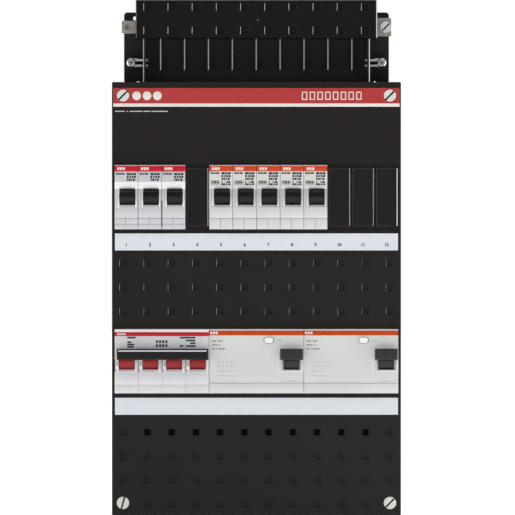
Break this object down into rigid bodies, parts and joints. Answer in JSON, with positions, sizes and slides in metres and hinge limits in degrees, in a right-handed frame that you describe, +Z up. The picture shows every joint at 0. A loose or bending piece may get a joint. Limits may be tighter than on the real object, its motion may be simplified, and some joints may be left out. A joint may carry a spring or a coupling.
{
  "type": "distribution board",
  "caption": "Wall distribution board with residual current devices, circuit breakers and a main switch in rail rows behind a black cover, with a conduit entry on top.",
  "frame": {"origin": "centre of the rear face of the box, on the wall", "axes": "+Z up, +X to the right seen from the front, the front faces -Y"},
  "size_m": [0.22, 0.077, 0.393],
  "materials": {
    "cover_black": "fine satin moulded ABS",
    "box_black": "fine satin moulded ABS",
    "header_red": "printed red film with a white line along its lower edge",
    "label_card": "bluish white label strip",
    "screw_white": "off-white moulded nylon",
    "blank_black": "satin moulded ABS",
    "zinc_steel": "zinc plated rolled steel",
    "screw_steel": "zinc plated, cross and slot heads",
    "nickel_steel": "nickel plated, lightly brushed",
    "copper": "bare copper bar",
    "brass": "drawn brass bar",
    "device_grey": "light grey moulded thermoset, satin",
    "lever_black": "black moulded nylon",
    "lever_red": "dark red moulded nylon",
    "lever_dark": "dark grey moulded nylon",
    "button_white": "white moulded nylon",
    "core_tape": "varnished wound core",
    "relay_can": "dark grey moulded case",
    "carrier_grey": "grey moulded carrier"
  },
  "bodies": {
    "board": {"back_box": "box_black", "front_cover": "cover_black", "header_band": "header_red", "upper_label_strip": "label_card", "lower_label_strip": "label_card", "blank_04": "blank_black", "blank_10": "blank_black", "blank_11": "blank_black", "blank_12": "blank_black", "din_rail_upper": "zinc_steel", "din_rail_lower": "zinc_steel", "rail_screws": "screw_steel", "entry_frame": "box_black", "entry_comb": "box_black", "entry_hood": "box_black", "entry_clips": "nickel_steel", "entry_clip_screws": "screw_steel", "earth_bracket_left": "nickel_steel", "earth_bracket_right": "nickel_steel", "earth_screw": "nickel_steel", "main_switch_housing": "device_grey", "terminal_screws": "screw_steel", "comb_busbar": "copper", "earth_bar": "brass", "mcb_1_housing": "device_grey", "mcb_2_housing": "device_grey", "mcb_3_housing": "device_grey", "mcb_5_housing": "device_grey", "mcb_6_housing": "device_grey", "mcb_7_housing": "device_grey", "mcb_8_housing": "device_grey", "mcb_9_housing": "device_grey", "rcd_1_base": "device_grey", "rcd_1_front": "device_grey", "rcd_1_toroid": "core_tape", "rcd_1_relay": "relay_can", "rcd_2_base": "device_grey", "rcd_2_front": "device_grey", "rcd_2_toroid": "core_tape", "rcd_2_relay": "relay_can"},
    "mcb_1_lever": {"mcb_1_toggle": "lever_black"},
    "mcb_2_lever": {"mcb_2_toggle": "lever_black"},
    "mcb_3_lever": {"mcb_3_toggle": "lever_black"},
    "mcb_5_lever": {"mcb_5_toggle": "lever_black"},
    "mcb_6_lever": {"mcb_6_toggle": "lever_black"},
    "mcb_7_lever": {"mcb_7_toggle": "lever_black"},
    "mcb_8_lever": {"mcb_8_toggle": "lever_black"},
    "mcb_9_lever": {"mcb_9_toggle": "lever_black"},
    "main_switch_lever": {"main_switch_handle": "lever_red", "main_switch_tie_bar": "lever_black"},
    "rcd_1_lever": {"rcd_1_toggle": "lever_dark"},
    "rcd_1_carrier": {"rcd_1_contacts": "carrier_grey"},
    "rcd_1_button": {"rcd_1_test_button": "button_white"},
    "rcd_2_lever": {"rcd_2_toggle": "lever_dark"},
    "rcd_2_carrier": {"rcd_2_contacts": "carrier_grey"},
    "rcd_2_button": {"rcd_2_test_button": "button_white"},
    "screw_top_left": {"cover_screw_top_left": "screw_white"},
    "screw_top_right": {"cover_screw_top_right": "screw_white"},
    "screw_bottom_left": {"cover_screw_bottom_left": "screw_white"},
    "screw_bottom_right": {"cover_screw_bottom_right": "screw_white"}
  },
  "joints": [
    {"name": "mcb_1_switch", "type": "hinge", "parent": "board", "child": "mcb_1_lever", "pos_m": [-0.09815, -0.0645, 0.0776], "axis": [1, 0, 0], "range_deg": [0, 76]},
    {"name": "mcb_2_switch", "type": "hinge", "parent": "board", "child": "mcb_2_lever", "pos_m": [-0.08015, -0.0645, 0.0776], "axis": [1, 0, 0], "range_deg": [0, 76]},
    {"name": "mcb_3_switch", "type": "hinge", "parent": "board", "child": "mcb_3_lever", "pos_m": [-0.06215, -0.0645, 0.0776], "axis": [1, 0, 0], "range_deg": [0, 76]},
    {"name": "mcb_5_switch", "type": "hinge", "parent": "board", "child": "mcb_5_lever", "pos_m": [-0.02615, -0.0645, 0.0776], "axis": [1, 0, 0], "range_deg": [0, 76]},
    {"name": "mcb_6_switch", "type": "hinge", "parent": "board", "child": "mcb_6_lever", "pos_m": [-0.00815, -0.0645, 0.0776], "axis": [1, 0, 0], "range_deg": [0, 76]},
    {"name": "mcb_7_switch", "type": "hinge", "parent": "board", "child": "mcb_7_lever", "pos_m": [0.00985, -0.0645, 0.0776], "axis": [1, 0, 0], "range_deg": [0, 76]},
    {"name": "mcb_8_switch", "type": "hinge", "parent": "board", "child": "mcb_8_lever", "pos_m": [0.02785, -0.0645, 0.0776], "axis": [1, 0, 0], "range_deg": [0, 76]},
    {"name": "mcb_9_switch", "type": "hinge", "parent": "board", "child": "mcb_9_lever", "pos_m": [0.04585, -0.0645, 0.0776], "axis": [1, 0, 0], "range_deg": [0, 76]},
    {"name": "main_switch_turn", "type": "hinge", "parent": "board", "child": "main_switch_lever", "pos_m": [-0.072, -0.0645, -0.0475], "axis": [1, 0, 0], "range_deg": [0, 68]},
    {"name": "rcd_1_switch", "type": "hinge", "parent": "board", "child": "rcd_1_lever", "pos_m": [0.0267, -0.0645, -0.0475], "axis": [1, 0, 0], "range_deg": [0, 68]},
    {"name": "rcd_1_carrier_slide", "type": "slide", "parent": "board", "child": "rcd_1_carrier", "axis": [0, 1, 0], "range_m": [0, 0.003]},
    {"name": "rcd_1_test_press", "type": "slide", "parent": "board", "child": "rcd_1_button", "axis": [0, 1, 0], "range_m": [0, 0.0013], "stiffness_N_per_m": 600},
    {"name": "rcd_2_switch", "type": "hinge", "parent": "board", "child": "rcd_2_lever", "pos_m": [0.0987, -0.0645, -0.0475], "axis": [1, 0, 0], "range_deg": [0, 68]},
    {"name": "rcd_2_carrier_slide", "type": "slide", "parent": "board", "child": "rcd_2_carrier", "axis": [0, 1, 0], "range_m": [0, 0.003]},
    {"name": "rcd_2_test_press", "type": "slide", "parent": "board", "child": "rcd_2_button", "axis": [0, 1, 0], "range_m": [0, 0.0013], "stiffness_N_per_m": 600},
    {"name": "screw_top_left_turn", "type": "hinge", "parent": "board", "child": "screw_top_left", "pos_m": [-0.1016, -0.0625, 0.1547], "axis": [0, 1, 0], "range_deg": [0, 90]},
    {"name": "screw_top_right_turn", "type": "hinge", "parent": "board", "child": "screw_top_right", "pos_m": [0.1016, -0.0625, 0.1547], "axis": [0, 1, 0], "range_deg": [0, 90]},
    {"name": "screw_bottom_left_turn", "type": "hinge", "parent": "board", "child": "screw_bottom_left", "pos_m": [-0.1016, -0.0625, -0.1554], "axis": [0, 1, 0], "range_deg": [0, 90]},
    {"name": "screw_bottom_right_turn", "type": "hinge", "parent": "board", "child": "screw_bottom_right", "pos_m": [0.1016, -0.0625, -0.1554], "axis": [0, 1, 0], "range_deg": [0, 90]}
  ],
  "couplings": [
    {"joint": "rcd_1_switch", "follows": "rcd_1_carrier_slide", "rad_per_m": 395.6},
    {"joint": "rcd_2_switch", "follows": "rcd_2_carrier_slide", "rad_per_m": 395.6}
  ]
}
